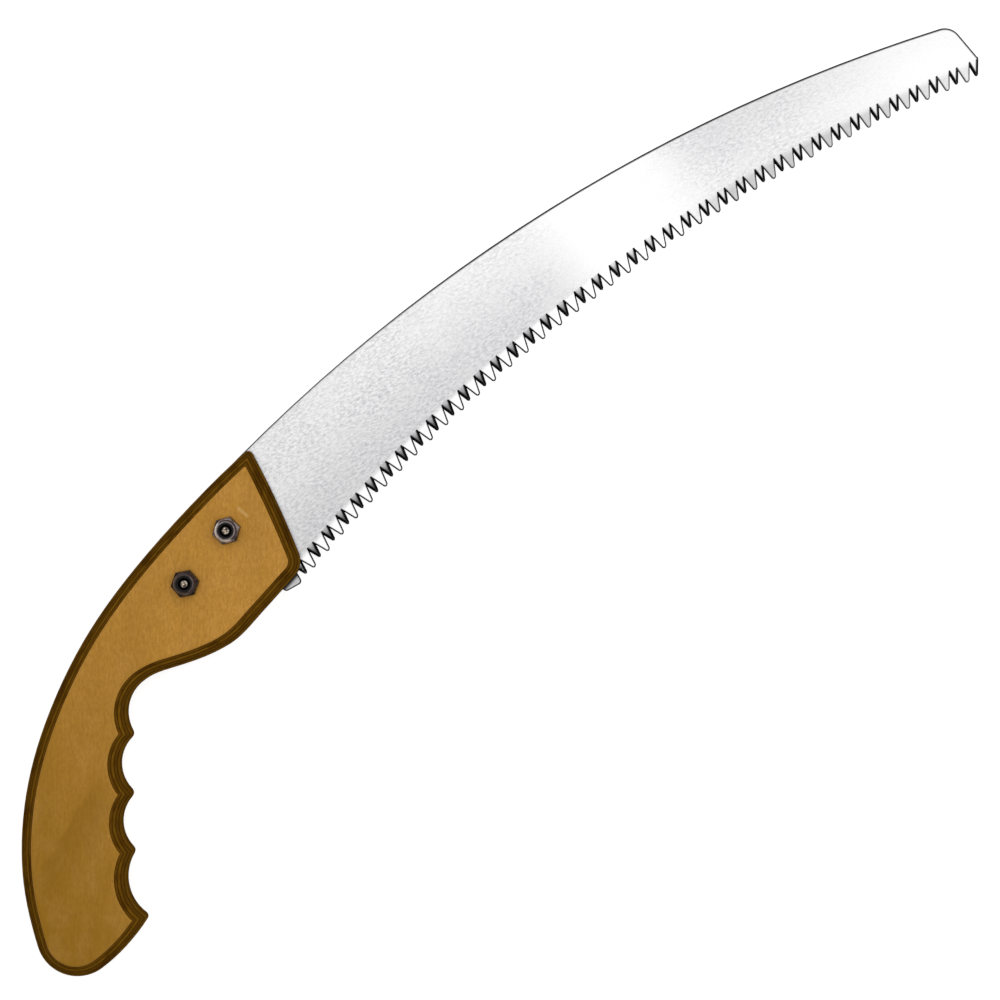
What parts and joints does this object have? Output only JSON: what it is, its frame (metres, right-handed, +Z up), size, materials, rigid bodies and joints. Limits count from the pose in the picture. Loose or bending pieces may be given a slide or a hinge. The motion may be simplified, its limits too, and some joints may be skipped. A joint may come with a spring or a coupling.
{
  "type": "curved pruning saw",
  "caption": "Curved pull-cut pruning saw: a fixed steel blade with bevel-ground teeth, bolted into the slotted head of a bevelled plywood pistol grip with finger grooves.",
  "frame": {"origin": "midway between the two blade bolts, on the plane that the handle's lower face rests on", "axes": "+X along the chord of the tooth line towards the blade's tip, +Y towards the blade's spine, with the teeth on the -Y side, +Z up through the handle's thickness towards the lock nuts"},
  "size_m": [0.5041, 0.1374, 0.0217],
  "materials": {
    "plywood_face": "oiled, satin, fine lengthwise grain",
    "plywood_core_long_grain": "oiled edge of a veneer with lengthwise grain",
    "plywood_core_cross_grain": "oiled edge of a veneer with crosswise grain",
    "saw_steel": "pale, finely brushed and mottled",
    "plated_steel": "zinc plating gone dull and brownish, worn brighter on its slopes",
    "nylon": "dark nylon"
  },
  "bodies": {
    "root": {"blade": "saw_steel", "handle_lower_face_veneer": "plywood_face", "handle_core_veneer_01": "plywood_core_cross_grain", "handle_core_veneer_02": "plywood_core_long_grain", "handle_core_veneer_03": "plywood_core_cross_grain", "handle_core_veneer_04": "plywood_core_long_grain", "handle_core_veneer_05": "plywood_core_cross_grain", "handle_core_veneer_06": "plywood_core_long_grain", "handle_core_veneer_07": "plywood_core_cross_grain", "handle_core_veneer_08": "plywood_core_long_grain", "handle_core_veneer_09": "plywood_core_cross_grain", "handle_core_veneer_10": "plywood_core_long_grain", "handle_core_veneer_11": "plywood_core_cross_grain", "handle_core_veneer_12": "plywood_core_long_grain", "handle_core_veneer_13": "plywood_core_cross_grain", "handle_upper_face_veneer": "plywood_face", "front_screw": "plated_steel", "front_lock_nut": "plated_steel", "front_nut_nylon_ring": "nylon", "rear_screw": "plated_steel", "rear_lock_nut": "plated_steel", "rear_nut_nylon_ring": "nylon"}
  },
  "joints": []
}
